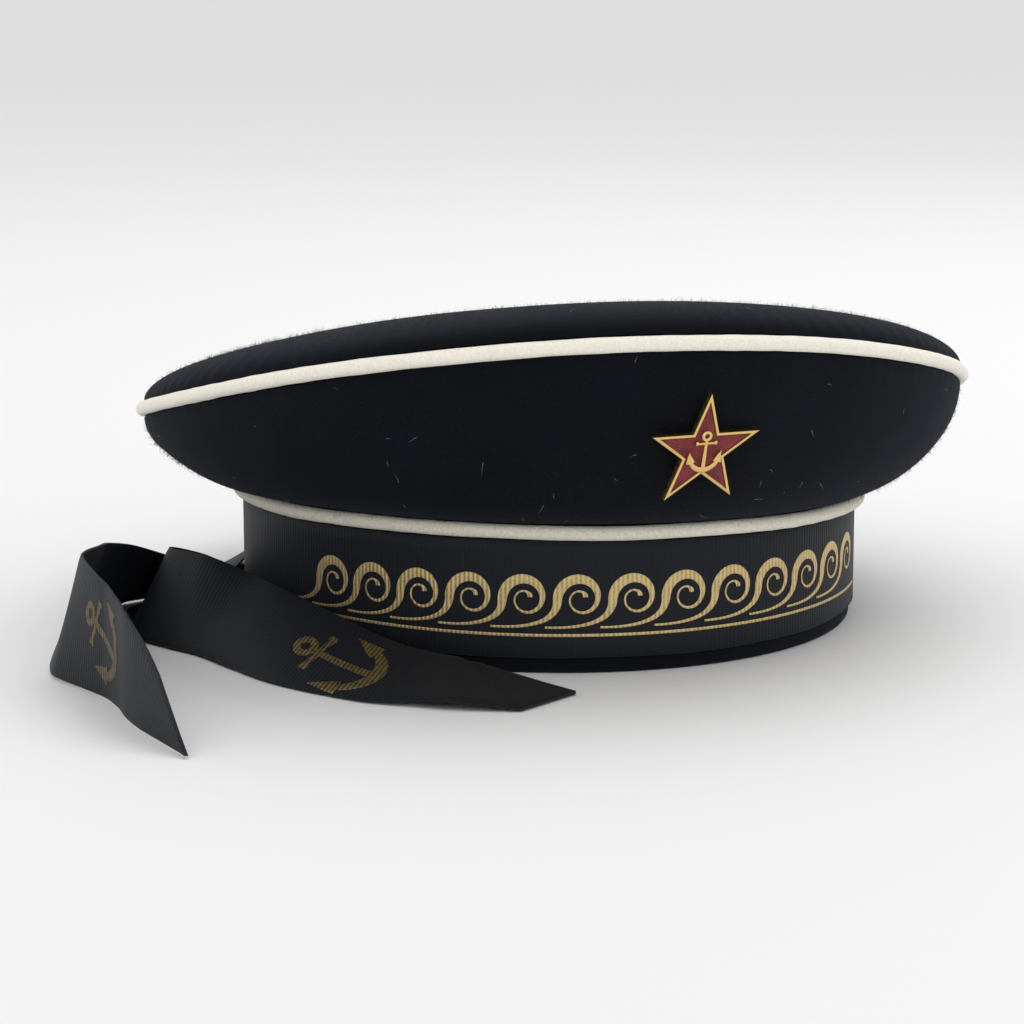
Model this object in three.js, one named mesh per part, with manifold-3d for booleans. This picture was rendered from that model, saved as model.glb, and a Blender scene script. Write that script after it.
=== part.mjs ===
// A sailor cap of navy wool: a stiff headband, a wide floppy crown edged with two cream pipings,
// a ribbed cap ribbon whose two long tails lie on the table, and an enamelled star badge.
// Millimetres, +Z up. The front of the cap faces -Y. The origin is on the bottom edge of the
// headband, at its front centre, in the middle of its wall.
import * as THREE from 'three';
import { mergeVertices } from 'three/addons/utils/BufferGeometryUtils.js';
import Module from 'manifold-3d';

const wasm = await Module();
wasm.setup();

// Headband
const bandHalfWidth = 90.2;
const bandHalfLength = 96.2;
const bandWall = 3;
const seamHeight = 35.6;
const seamLift = 4.4;
const seamLiftTurn = -35;

// Cloth, piping and the clearance between pieces that touch
const clearance = 0.3;
const clothWall = 2;
const bandPipingRadius = 2;
const rimPipingRadius = 2.1;

// Rim of the crown, its height as a mean and three waves round the cap
const rimHalfWidth = 122;
const rimHalfLength = 125.5;
const rimShift = 1;
const rimHeight = 68.8;
const rimTiltHeight = 21;
const rimSaddleHeight = 5.6;
const rimTwistHeight = -0.6;
const rimHighTurn = -12;
const rimOverlap = 0.4;
const crownBulge = 14.8;
const bowlRise = 0.15;

// Cap ribbon and its tails
const ribbonWidth = 35;
const ribbonWall = 1;
const ribbonFootHeight = 4.5;
const tailWall = 1;

// Star badge
const starRadius = 16.8;
const starNotch = 0.382;
const starThickness = 2;
const starRim = 0.9;
const enamelDepth = 0.8;
const enamelThickness = 0.5;
const anchorHeight = 11.5;
const anchorThickness = 0.8;
const pinRadius = 1;
const pinDiscRadius = 4;
const pinDiscThickness = 1;
const pinDiscGap = 1.3;
const badgeTurn = -5.1;
const badgeShare = 0.612;
const badgeLift = 5.3;
const badgeStandoff = 1.6;

// Steps round the cap and sides of the round sections
const roundSteps = 72;
const pipingSides = 8;
const sideSteps = 8;
const topSteps = 8;
const stepsPerRow = 3;
const tailCrossSteps = 2;

const centreY = bandHalfLength - bandWall / 2;
const axisZ = new THREE.Vector3(0, 0, 1);

// Tail that lies nearest the cap: each row is a line across the ribbon, from its lower edge.
// turn: degrees round the cap from the front; out: lower edge's distance from the cap ribbon and
// up: its height, both as shares of the ribbon's width; swing: degrees that the line across is
// turned from the way to the cap's axis; rise: its slope in degrees; span: its share of the width.
const nearTailRows = [
  { turn: -178, out: 0, up: 0.02, swing: 0, rise: 90, span: 0.8 },
  { turn: -163, out: 0, up: 0.02, swing: 0, rise: 90, span: 0.8 },
  { turn: -150, out: 0.38, up: 0.02, swing: 0, rise: 60, span: 0.68 },
  { turn: -138, out: 0.4, up: 0.02, swing: 0, rise: 26, span: 0.4 },
  { turn: -126, out: 0.4, up: 0.02, swing: 0, rise: 14, span: 0.38 },
  { turn: -114, out: 0.57, up: 0.02, swing: 3, rise: 12, span: 0.55 },
  { turn: -105, out: 0.99, up: 0.02, swing: 15, rise: 17, span: 1 },
  { turn: -98, out: 0.98, up: 0.02, swing: 38, rise: 26, span: 1 },
  { turn: -91, out: 1.11, up: 0.02, swing: 49, rise: 36, span: 1 },
  { turn: -84, out: 1, up: 0.02, swing: 41, rise: 37, span: 1 },
  { turn: -76.5, out: 0.9, up: 0.02, swing: 29, rise: 30, span: 1 },
  { turn: -69, out: 0.95, up: 0.02, swing: 21, rise: 27, span: 1 },
  { turn: -60, out: 1.07, up: 0.02, swing: 10, rise: 21.5, span: 1 },
  { turn: -51.5, out: 1.15, up: 0.02, swing: 6.5, rise: 15, span: 1 },
  { turn: -45, out: 1.21, up: 0.03, swing: 5, rise: 10.5, span: 1 },
  { turn: -40.5, out: 1.2, up: 0.05, swing: 6, rise: 7.5, span: 1 },
  { turn: -36.5, out: 1.22, up: 0.07, swing: 9, rise: 6, span: 1 },
  { turn: -32, out: 1.2, up: 0.05, swing: 17, rise: 6, span: 1 },
  { turn: -27.8, out: 1.18, up: 0.02, swing: 25, rise: 8, span: 1 },
];
const nearTailTip = { turn: -21.3, out: 0.64, up: 0.02 };

// Tail that lies outside it and comes forward standing on its edge, with the same columns.
const farTailRows = [
  { turn: -178, out: 0, up: 0.02, swing: 0, rise: 90, span: 0.8 },
  { turn: -163, out: 0, up: 0.02, swing: 0, rise: 90, span: 0.8 },
  { turn: -150, out: 0.48, up: 0.02, swing: 0, rise: 63, span: 0.72 },
  { turn: -138, out: 0.55, up: 0.02, swing: 0, rise: 30, span: 0.48 },
  { turn: -126, out: 0.53, up: 0.02, swing: 0, rise: 20, span: 0.43 },
  { turn: -115, out: 0.74, up: 0.02, swing: 0, rise: 15, span: 0.6 },
  { turn: -107.5, out: 1.2, up: 0.02, swing: 8, rise: 15, span: 1 },
  { turn: -102.3, out: 1.24, up: 0.02, swing: 22, rise: 21, span: 1 },
  { turn: -96.2, out: 1.37, up: 0.02, swing: 32, rise: 31, span: 1 },
  { turn: -91.5, out: 1.54, up: 0.02, swing: 34, rise: 42, span: 1 },
  { turn: -87, out: 1.76, up: 0.02, swing: 29, rise: 52, span: 1 },
  { turn: -81.4, out: 2.01, up: 0.02, swing: 0, rise: 66, span: 1 },
  { turn: -77, out: 2.14, up: 0.02, swing: -10, rise: 76, span: 0.97 },
  { turn: -73, out: 2.15, up: 0.02, swing: -30, rise: 83, span: 0.94 },
  { turn: -68.4, out: 2.19, up: 0.02, swing: -60, rise: 88, span: 0.89 },
  { turn: -64.5, out: 2.32, up: 0.02, swing: -90, rise: 90, span: 0.84 },
  { turn: -61.2, out: 2.51, up: 0.02, swing: -110, rise: 88, span: 0.78 },
  { turn: -57.9, out: 2.69, up: 0.02, swing: -113, rise: 56, span: 0.57 },
];
const farTailTip = { turn: -50.5, out: 3.11, up: 0.02 };

// Shapes round the cap

const radians = THREE.MathUtils.degToRad;

// Point at a turn in degrees from the front, on the ellipse of the given half sizes.
function onEllipse(turn, halfWidth, halfLength, height, shift = 0) {
  const angle = radians(turn);
  const x = shift + halfWidth * Math.sin(angle);
  return new THREE.Vector3(x, centreY - halfLength * Math.cos(angle), height);
}

// Point a given distance outside the headband.
function roundBand(turn, distance, height) {
  return onEllipse(turn, bandHalfWidth + distance, bandHalfLength + distance, height);
}

// Point a given distance outside the rim's piping line.
function roundRim(turn, distance, height) {
  return onEllipse(turn, rimHalfWidth + distance, rimHalfLength + distance, height, rimShift);
}

// Height of the piping at the top of the headband.
function seamHeightAt(turn) {
  return seamHeight + seamLift * Math.cos(radians(turn - seamLiftTurn));
}

// Height of the smooth surface that the rim spans, at a share of the way out to the rim.
function rimHeightAt(turn, share = 1) {
  const wave = radians(turn - rimHighTurn);
  const tilt = rimTiltHeight * share * Math.cos(wave);
  const saddle = rimSaddleHeight * share ** 2 * Math.cos(2 * wave);
  const twist = rimTwistHeight * share ** 3 * Math.cos(3 * wave);
  return rimHeight + tilt + saddle + twist;
}

// Outer face of the bowl-shaped side between the band piping (share 0) and the rim (share 1).
function crownSideAt(turn, share) {
  const lower = roundBand(turn, seatedPiping, seamTopAt(turn) + clearance);
  const upper = roundRim(turn, -rimOverlap, rimHeightAt(turn) - rimPipingRadius - clearance);
  const arc = share * Math.PI / 2;
  const outward = Math.sin(arc);
  const upward = (1 - bowlRise) * (1 - Math.cos(arc)) + bowlRise * Math.sin(arc);
  const height = THREE.MathUtils.lerp(lower.z, upper.z, upward);
  return lower.lerp(upper, outward).setZ(height);
}

// Outer face of the puffed top, from its middle (share 0) to the rim (share 1).
function crownTopAt(turn, share) {
  const edge = roundRim(turn, -rimOverlap, 0);
  const middle = new THREE.Vector3(rimShift, centreY, 0);
  const bulge = crownBulge * Math.sqrt(1 - share ** 4);
  const height = rimHeightAt(turn, share) + rimPipingRadius + clearance + bulge;
  return middle.lerp(edge, share).setZ(height);
}

// Unit normal of a surface(turn, share), on the side of the given sign.
function normalAt(surface, turn, share, sign) {
  const step = 0.001;
  const before = Math.max(share - step, 0);
  const along = surface(turn + step, share).sub(surface(turn - step, share));
  const across = surface(turn, before + step).sub(surface(turn, before));
  return along.cross(across).normalize().multiplyScalar(sign);
}

const seatedPiping = clearance + bandPipingRadius;
const ribbonFace = clearance + ribbonWall;

function seamTopAt(turn) {
  return seamHeightAt(turn) + bandPipingRadius;
}

// Closed meshes from rows of sections

// Merges equal corners, drops the faces that close up, and turns the faces outward.
function closedMesh(points, faces) {
  const positions = points.flatMap((point) => [point.x, point.y, point.z]);
  const loose = new THREE.BufferGeometry();
  loose.setAttribute('position', new THREE.Float32BufferAttribute(positions, 3));
  loose.setIndex(faces.flat());
  const geometry = mergeVertices(loose, 1e-3);
  const index = [...geometry.index.array];
  const kept = [];
  for (let i = 0; i < index.length; i += 3) {
    const [a, b, c] = index.slice(i, i + 3);
    if (a !== b && b !== c && c !== a) kept.push([a, b, c]);
  }
  const corner = (i) => new THREE.Vector3().fromBufferAttribute(geometry.attributes.position, i);
  const volume = kept.reduce((sum, [a, b, c]) => sum + corner(a).dot(corner(b).cross(corner(c))), 0);
  geometry.setIndex(kept.flatMap(([a, b, c]) => (volume > 0 ? [a, b, c] : [a, c, b])));
  geometry.computeVertexNormals();
  return geometry;
}

// Joins equal rings of points one after the other, and the last to the first where it is round.
// Open ends are closed across, from each point to the one that faces it in the ring.
function loft(rings, round) {
  const count = rings[0].length;
  const faces = [];
  const last = round ? rings.length : rings.length - 1;
  for (let i = 0; i < last; i += 1) {
    const here = i * count;
    const next = ((i + 1) % rings.length) * count;
    for (let j = 0; j < count; j += 1) {
      const k = (j + 1) % count;
      faces.push([here + j, next + j, next + k], [here + j, next + k, here + k]);
    }
  }
  if (!round) {
    for (const [start, flip] of [[0, false], [(rings.length - 1) * count, true]]) {
      for (let j = 0; j < count / 2 - 1; j += 1) {
        const [a, b, c, d] = [start + j, start + j + 1, start + count - 2 - j, start + count - 1 - j];
        faces.push(...(flip ? [[a, c, b], [a, d, c]] : [[a, b, c], [a, c, d]]));
      }
    }
  }
  return closedMesh(rings.flat(), faces);
}

// Carries a section, a closed ring of points that depends on the turn, round the cap.
function roundTheCap(sectionAt) {
  const turns = Array.from({ length: roundSteps }, (_, i) => (i * 360) / roundSteps);
  return loft(turns.map(sectionAt), true);
}

// Boolean work

function toSolid(geometry) {
  const bare = geometry.clone();
  bare.deleteAttribute('normal');
  bare.deleteAttribute('uv');
  const merged = mergeVertices(bare, 1e-4);
  const vertProperties = new Float32Array(merged.attributes.position.array);
  const triVerts = new Uint32Array(merged.index.array);
  return new wasm.Manifold(new wasm.Mesh({ numProp: 3, vertProperties, triVerts }));
}

function toGeometry(solid) {
  const mesh = solid.getMesh();
  const geometry = new THREE.BufferGeometry();
  geometry.setAttribute('position', new THREE.BufferAttribute(mesh.vertProperties, 3));
  geometry.setIndex(new THREE.BufferAttribute(mesh.triVerts, 1));
  geometry.computeVertexNormals();
  return geometry;
}

// Materials

const cloth = (name, color) => new THREE.MeshStandardMaterial({ name, color, roughness: 0.95 });
const gilt = { color: '#d2b164', roughness: 0.3, metalness: 1 };
const navyWool = cloth('navy wool', '#0b0e16');
const creamFelt = cloth('cream felt', '#e6e1d2');
const blackRibbon = new THREE.MeshStandardMaterial({ name: 'ribbed ribbon', color: '#14161c', roughness: 0.7 });
const giltBrass = new THREE.MeshStandardMaterial({ name: 'gilt brass', ...gilt });
const redEnamel = new THREE.MeshStandardMaterial({ name: 'red enamel', color: '#7c1f2a', roughness: 0.15 });

function mesh(name, geometry, material) {
  const piece = new THREE.Mesh(geometry, material);
  piece.name = name;
  return piece;
}

// Headband, cap ribbon and pipings

// Upright wall round the cap, between two distances from the headband's outer face.
function wall(inside, outside, bottomAt, topAt) {
  return roundTheCap((turn) => [
    roundBand(turn, inside, bottomAt(turn)),
    roundBand(turn, outside, bottomAt(turn)),
    roundBand(turn, outside, topAt(turn)),
    roundBand(turn, inside, topAt(turn)),
  ]);
}

function headband() {
  return mesh('headband', wall(-bandWall, 0, () => 0, seamTopAt), navyWool);
}

function ribbonTopAt(turn) {
  return seamHeightAt(turn) - bandPipingRadius - clearance;
}

function capRibbon() {
  return mesh('cap_ribbon', wall(clearance, ribbonFace, () => ribbonFootHeight, ribbonTopAt), blackRibbon);
}

// Round cord along a closed line round the cap.
function piping(name, radius, centreAt) {
  const geometry = roundTheCap((turn) => {
    const outward = onEllipse(turn, 1, 1, 0).sub(onEllipse(turn, 0, 0, 0));
    const sides = Array.from({ length: pipingSides }, (_, i) => (2 * Math.PI * (i + 0.5)) / pipingSides);
    return sides.map((angle) => {
      const offset = outward.clone().multiplyScalar(radius * Math.cos(angle));
      return centreAt(turn).add(offset).addScaledVector(axisZ, radius * Math.sin(angle));
    });
  });
  return mesh(name, geometry, creamFelt);
}

function bandPiping() {
  return piping('band_piping', bandPipingRadius, (turn) => roundBand(turn, seatedPiping, seamHeightAt(turn)));
}

function rimPiping() {
  return piping('rim_piping', rimPipingRadius, (turn) => roundRim(turn, 0, rimHeightAt(turn)));
}

// Crown

// Lip of cloth behind the rim's piping, from the face of a shell to the seam.
function rimLip(turn, seamOffset) {
  const height = rimHeightAt(turn);
  const behind = -rimPipingRadius - clearance;
  const face = height + Math.sign(seamOffset) * (rimPipingRadius + clearance);
  return [
    roundRim(turn, behind, face),
    roundRim(turn, behind, height + seamOffset),
    roundRim(turn, behind - clothWall, height + seamOffset),
  ];
}

// Bowl-shaped side: outer face, lip behind the rim's piping, inner face, and a flat lip that
// lies on the top edge of the headband.
function crownSide() {
  const geometry = roundTheCap((turn) => {
    const shares = Array.from({ length: sideSteps + 1 }, (_, i) => i / sideSteps);
    const outer = shares.map((share) => crownSideAt(turn, share));
    const inner = shares.slice(1, -1).map((share) => {
      const inward = normalAt(crownSideAt, turn, share, -1);
      return crownSideAt(turn, share).addScaledVector(inward, clothWall);
    });
    const bottom = seamTopAt(turn) + clearance;
    const lip = [
      roundBand(turn, -bandWall, bottom + clothWall),
      roundBand(turn, -bandWall, bottom),
    ];
    return [...outer, ...rimLip(turn, -clearance / 2), ...inner.reverse(), ...lip];
  });
  const hole = toSolid(pinHole());
  return mesh('crown_side', toGeometry(toSolid(geometry).subtract(hole)), navyWool);
}

// Puffed top, with the same lip above the seam.
function crownTop() {
  const geometry = roundTheCap((turn) => {
    const shares = Array.from({ length: topSteps + 1 }, (_, i) => Math.sin((i / topSteps) * Math.PI / 2));
    const outer = shares.map((share) => crownTopAt(turn, share));
    const inner = shares.slice(0, -1).map((share) => {
      const point = crownTopAt(turn, share);
      return point.lerp(new THREE.Vector3(rimShift, centreY, point.z), clothWall / rimHalfWidth)
        .addScaledVector(axisZ, -clothWall);
    });
    return [...outer, ...rimLip(turn, clearance / 2), ...inner.reverse()];
  });
  return mesh('crown_top', geometry, navyWool);
}

// Ribbon tails

// Value of one column between its rows: a smooth curve that doesn't overshoot.
function columnAt(rows, column, place) {
  const value = (i) => rows[THREE.MathUtils.clamp(i, 0, rows.length - 1)][column];
  const slope = (i) => {
    const before = value(i) - value(i - 1);
    const after = value(i + 1) - value(i);
    if (i === 0) return after;
    if (i === rows.length - 1) return before;
    return before * after > 0 ? (2 * before * after) / (before + after) : 0;
  };
  const i = Math.min(Math.floor(place), rows.length - 2);
  const f = place - i;
  const start = value(i) * (2 * f ** 3 - 3 * f ** 2 + 1) + slope(i) * (f ** 3 - 2 * f ** 2 + f);
  return start + value(i + 1) * (3 * f ** 2 - 2 * f ** 3) + slope(i + 1) * (f ** 3 - f ** 2);
}

// Thin pointed ribbon whose lower edge and line across come from the rows of its table.
function tail(name, rows, tip, seat) {
  const edgePoint = ({ turn, out, up }) => roundBand(turn, seat + out * ribbonWidth, up * ribbonWidth);
  const steps = (rows.length - 1) * stepsPerRow;
  const edges = Array.from({ length: steps + 1 }, (_, i) => {
    const at = (column) => columnAt(rows, column, i / stepsPerRow);
    const low = edgePoint({ turn: at('turn'), out: at('out'), up: at('up') });
    const heading = radians(90 - Math.abs(at('turn')) + at('swing'));
    const rise = radians(at('rise'));
    const level = Math.cos(rise);
    const across = new THREE.Vector3(level * Math.cos(heading), level * Math.sin(heading), Math.sin(rise));
    return { low, high: low.clone().addScaledVector(across, at('span') * ribbonWidth) };
  });
  const point = edgePoint(tip);
  edges.push({ low: point, high: point.clone() });
  const rings = edges.map(({ low, high }, i) => {
    const next = edges[Math.min(i + 1, steps)];
    const before = edges[Math.min(Math.max(i - 1, 0), steps - 1)];
    const along = next.low.clone().add(next.high).sub(before.low).sub(before.high);
    const full = edges[Math.min(i, steps)];
    const across = full.high.clone().sub(full.low);
    const half = along.cross(across).normalize().multiplyScalar(tailWall / 2);
    const shares = Array.from({ length: tailCrossSteps + 1 }, (_, j) => j / tailCrossSteps);
    const face = (sign) => shares.map((share) => low.clone().lerp(high, share).addScaledVector(half, sign));
    return [...face(1), ...face(-1).reverse()];
  });
  return mesh(name, loft(rings, false), blackRibbon);
}

function nearTail() {
  const seat = ribbonFace + clearance + tailWall / 2;
  return tail('ribbon_tail_near', nearTailRows, nearTailTip, seat);
}

function farTail() {
  const seat = ribbonFace + clearance * 2 + tailWall * 1.5;
  return tail('ribbon_tail_far', farTailRows, farTailTip, seat);
}

// Star badge, modelled flat with its face up, then seated on the front of the crown

function starShape(radius) {
  const corners = Array.from({ length: 10 }, (_, i) => {
    const reach = i % 2 ? radius * starNotch : radius;
    const angle = radians(90 + 36 * i);
    return new THREE.Vector2(reach * Math.cos(angle), reach * Math.sin(angle));
  });
  return new THREE.Shape(corners);
}

function flatPiece(shape, bottom, thickness) {
  const geometry = new THREE.ExtrudeGeometry(shape, { depth: thickness, bevelEnabled: false, curveSegments: 10 });
  return geometry.translate(0, 0, bottom);
}

const enamelRadius = starRadius - starRim / Math.sin(radians(18));
const enamelBottom = starThickness - enamelDepth + clearance;
const anchorBottom = enamelBottom + enamelThickness + clearance;

function badgeStar() {
  const body = toSolid(flatPiece(starShape(starRadius), 0, starThickness));
  const recess = toSolid(flatPiece(starShape(enamelRadius + clearance * 3), starThickness - enamelDepth, starThickness));
  return mesh('badge_star', toGeometry(body.subtract(recess)), giltBrass);
}

function badgeEnamel() {
  return mesh('badge_enamel', flatPiece(starShape(enamelRadius), enamelBottom, enamelThickness), redEnamel);
}

// Ring on top, cross stock, shank, and two curved arms that end in pointed flukes.
function badgeAnchor() {
  const height = anchorHeight;
  const bar = height * 0.055;
  const armRadius = height * 0.36;
  const box = (left, bottom, right, top) => new THREE.Shape([
    new THREE.Vector2(left, bottom),
    new THREE.Vector2(right, bottom),
    new THREE.Vector2(right, top),
    new THREE.Vector2(left, top),
  ]);
  const ring = new THREE.Shape().absarc(0, height * 0.4, height * 0.1, 0, 2 * Math.PI);
  ring.holes.push(new THREE.Path().absarc(0, height * 0.4, height * 0.05, 0, 2 * Math.PI, true));
  const shank = box(-bar, -height / 2 + bar, bar, height * 0.32);
  const stock = box(-height * 0.22, height * 0.17, height * 0.22, height * 0.17 + bar * 1.7);
  const from = radians(190);
  const to = radians(350);
  const arms = new THREE.Shape().absarc(0, armRadius - height / 2, armRadius, from, to);
  arms.absarc(0, armRadius - height / 2 + bar / 2, armRadius - bar * 2, to, from, true);
  const fluke = (side) => new THREE.Shape([
    new THREE.Vector2(side * armRadius * 1.2, -height * 0.22),
    new THREE.Vector2(side * armRadius * 0.95, height * 0.02),
    new THREE.Vector2(side * armRadius * 0.55, -height * 0.17),
  ]);
  const shapes = [ring, shank, stock, arms, fluke(1), fluke(-1)];
  const solids = shapes.map((shape) => toSolid(flatPiece(shape, anchorBottom, anchorThickness)));
  return mesh('badge_anchor', toGeometry(solids.reduce((sum, solid) => sum.add(solid))), giltBrass);
}

// Post behind the star, through the crown's side, with a screwed disc against its inner face.
function badgePin() {
  const top = -clearance;
  const bottom = -badgeStandoff - clothWall - pinDiscGap - pinDiscThickness;
  const profile = [
    new THREE.Vector2(0, bottom),
    new THREE.Vector2(pinDiscRadius, bottom),
    new THREE.Vector2(pinDiscRadius, bottom + pinDiscThickness),
    new THREE.Vector2(pinRadius, bottom + pinDiscThickness),
    new THREE.Vector2(pinRadius, top),
    new THREE.Vector2(0, top),
  ];
  const geometry = new THREE.LatheGeometry(profile, 20).rotateX(Math.PI / 2);
  return mesh('badge_pin', geometry, giltBrass);
}

// The star faces the front and leans out a little less than the cloth; its flat back stands off
// the middle of the bowed cloth.
function badgePlace() {
  const seat = crownSideAt(badgeTurn, badgeShare);
  const clothLean = Math.asin(-normalAt(crownSideAt, badgeTurn, badgeShare, 1).z);
  const turned = new THREE.Matrix4().makeRotationX(Math.PI / 2 + clothLean - radians(badgeLift));
  const outward = new THREE.Vector3(0, 0, 1).transformDirection(turned);
  return turned.setPosition(seat.addScaledVector(outward, badgeStandoff));
}

function pinHole() {
  const radius = pinRadius + clearance;
  const reach = badgeStandoff + clothWall * 3;
  const geometry = new THREE.CylinderGeometry(radius, radius, 2 * reach, 16).rotateX(Math.PI / 2);
  return geometry.applyMatrix4(badgePlace());
}

function badge() {
  const group = new THREE.Group();
  group.add(badgeStar(), badgeEnamel(), badgeAnchor(), badgePin());
  group.applyMatrix4(badgePlace());
  return group;
}

const cap = new THREE.Group();
cap.name = 'sailor_cap';
cap.add(headband(), capRibbon(), bandPiping(), crownSide(), rimPiping(), crownTop());
cap.add(nearTail(), farTail(), badge());

export default cap;
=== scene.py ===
# Sailor cap: dark wool crown, cream pipings, ribbed ribbon with two tails, enamelled star badge
import math

import bmesh
import bpy
import numpy as np
from mathutils import Matrix


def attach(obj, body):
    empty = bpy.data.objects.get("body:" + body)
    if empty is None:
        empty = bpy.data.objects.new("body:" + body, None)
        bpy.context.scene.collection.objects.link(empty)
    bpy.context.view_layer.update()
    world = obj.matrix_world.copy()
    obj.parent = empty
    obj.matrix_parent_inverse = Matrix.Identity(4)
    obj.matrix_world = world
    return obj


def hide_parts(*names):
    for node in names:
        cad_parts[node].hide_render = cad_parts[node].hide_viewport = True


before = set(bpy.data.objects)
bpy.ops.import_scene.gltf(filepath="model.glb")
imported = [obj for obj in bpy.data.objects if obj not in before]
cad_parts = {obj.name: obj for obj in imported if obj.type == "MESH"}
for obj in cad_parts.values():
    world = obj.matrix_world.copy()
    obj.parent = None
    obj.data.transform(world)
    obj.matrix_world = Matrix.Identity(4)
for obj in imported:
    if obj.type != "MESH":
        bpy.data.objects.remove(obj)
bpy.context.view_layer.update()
print("frame loaded")

mm = 0.001
rng = np.random.default_rng(7)

# Sizes shared by several pieces, in mm and degrees, the same as the solids
cap = {
    "bandHalfWidth": 90.2,
    "bandHalfLength": 96.2,
    "bandWall": 3.0,
    "seamHeight": 35.6,
    "seamLift": 4.4,
    "seamLiftTurn": -35.0,
    "gap": 0.3,
    "clothWall": 2.0,
    "bandPipingRadius": 2.0,
    "rimPipingRadius": 2.1,
    "rimHalfWidth": 122.0,
    "rimHalfLength": 125.5,
    "rimShift": 1.0,
    "rimHeight": 68.8,
    "rimTilt": 21.0,
    "rimSaddle": 5.6,
    "rimTwist": -0.6,
    "rimHighTurn": -12.0,
    "rimOverlap": 0.4,
    "bulge": 14.8,
    "bowlRise": 0.15,
}
centreY = cap["bandHalfLength"] - cap["bandWall"] / 2


# Shapes round the cap, whole arrays in mm

def onEllipse(turn, halfWidth, halfLength, height, shift=0.0):
    # x = shift + halfWidth sin t,  y = centreY - halfLength cos t,  z = height
    t = np.radians(turn)
    parts = np.broadcast_arrays(shift + halfWidth * np.sin(t), centreY - halfLength * np.cos(t), height)
    return np.stack(parts, -1)


def roundBand(turn, out, height):
    # the headband's outer oval, grown by out
    return onEllipse(turn, cap["bandHalfWidth"] + out, cap["bandHalfLength"] + out, height)


def roundRim(turn, out, height):
    # the rim's oval, grown by out
    return onEllipse(turn, cap["rimHalfWidth"] + out, cap["rimHalfLength"] + out, height, cap["rimShift"])


def seamHeightAt(turn):
    # z = seamHeight + seamLift cos(t - seamLiftTurn)
    return cap["seamHeight"] + cap["seamLift"] * np.cos(np.radians(turn - cap["seamLiftTurn"]))


def seamTopAt(turn):
    return seamHeightAt(turn) + cap["bandPipingRadius"]


def rimHeightAt(turn, share=1.0):
    # z = rimHeight + tilt s cos w + saddle s^2 cos 2w + twist s^3 cos 3w,  w = t - rimHighTurn
    w = np.radians(turn - cap["rimHighTurn"])
    tilt = cap["rimTilt"] * share * np.cos(w)
    saddle = cap["rimSaddle"] * share**2 * np.cos(2 * w)
    return cap["rimHeight"] + tilt + saddle + cap["rimTwist"] * share**3 * np.cos(3 * w)


def crownSideAt(turn, share):
    # out = sin a, up = (1 - k)(1 - cos a) + k sin a, a = 90 share, between the seam and the rim
    seated = cap["gap"] + cap["bandPipingRadius"]
    low = roundBand(turn, seated, seamTopAt(turn) + cap["gap"])
    high = roundRim(turn, -cap["rimOverlap"], rimHeightAt(turn) - cap["rimPipingRadius"] - cap["gap"])
    a = share * np.pi / 2
    out = np.sin(a)[..., None]
    up = ((1 - cap["bowlRise"]) * (1 - np.cos(a)) + cap["bowlRise"] * np.sin(a))[..., None]
    point = low + (high - low) * out
    point[..., 2:] = low[..., 2:] + (high - low)[..., 2:] * up
    return point


def crownTopAt(turn, share):
    # r = s * rim,  z = rim surface(s) + bulge sqrt(1 - s^4)
    edge = roundRim(turn, -cap["rimOverlap"], 0.0)
    middle = np.array([cap["rimShift"], centreY, 0.0])
    point = middle + (edge - middle) * share[..., None]
    lift = cap["rimPipingRadius"] + cap["gap"] + cap["bulge"] * np.sqrt(np.clip(1 - share**4, 0, 1))
    point[..., 2] = rimHeightAt(turn, share) + lift
    return point


def waves(a, b, count, seed, lowest, highest):
    # sum of sines of whole numbers of turns round a (degrees) and slow drifts along b, about -1..1
    draw = np.random.default_rng(seed)
    fastestDrift, level, total = 5, 0.7, 0
    for _ in range(count):
        around = np.radians(a) * draw.integers(lowest, highest)
        drift = b * draw.uniform(-fastestDrift, fastestDrift)
        total = total + np.sin(around + drift + draw.uniform(0, 2 * np.pi))
    return total / math.sqrt(count) * level


def gridNormals(points):
    # n = dP/drow x dP/dcol, unit length, on a grid whose rows close round the cap
    n = np.cross(np.roll(points, -1, 0) - np.roll(points, 1, 0), np.gradient(points, axis=1))
    return n / np.maximum(np.linalg.norm(n, axis=-1, keepdims=True), 1e-9)


# Meshes

weldDistance = 2e-6  # m, points nearer than this become one
thinnestEdge = 1e-7  # m


def finishMesh(obj, sharp=None):
    # joins the poles and seams, faces outward, smooth with edges sharper than the angle kept
    b = bmesh.new()
    b.from_mesh(obj.data)
    bmesh.ops.remove_doubles(b, verts=b.verts, dist=weldDistance)
    bmesh.ops.dissolve_degenerate(b, edges=b.edges, dist=thinnestEdge)
    bmesh.ops.recalc_face_normals(b, faces=b.faces)
    b.to_mesh(obj.data)
    b.free()
    obj.data.shade_smooth()
    if sharp:
        obj.data.set_sharp_from_angle(angle=math.radians(sharp))
    return obj


def meshObject(name, points, faces, cut=None):
    # points in mm; cut holds one (u, v) in mm for each corner of each face
    data = bpy.data.meshes.new(name)
    data.from_pydata((np.asarray(points) * mm).tolist(), [], [list(map(int, f)) for f in faces])
    if cut is not None:
        layer = data.uv_layers.new(name="cut")
        layer.data.foreach_set("uv", np.asarray(cut, dtype=np.float32).ravel())
    obj = bpy.data.objects.new(name, data)
    bpy.context.scene.collection.objects.link(obj)
    return obj


def gridFaces(rows, cols, closeRows, closeCols):
    r = np.arange(rows if closeRows else rows - 1)
    c = np.arange(cols if closeCols else cols - 1)
    r, c = np.meshgrid(r, c, indexing="ij")
    r2, c2 = (r + 1) % rows, (c + 1) % cols
    return np.stack([r * cols + c, r2 * cols + c, r2 * cols + c2, r * cols + c2], -1).reshape(-1, 4)


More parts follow.
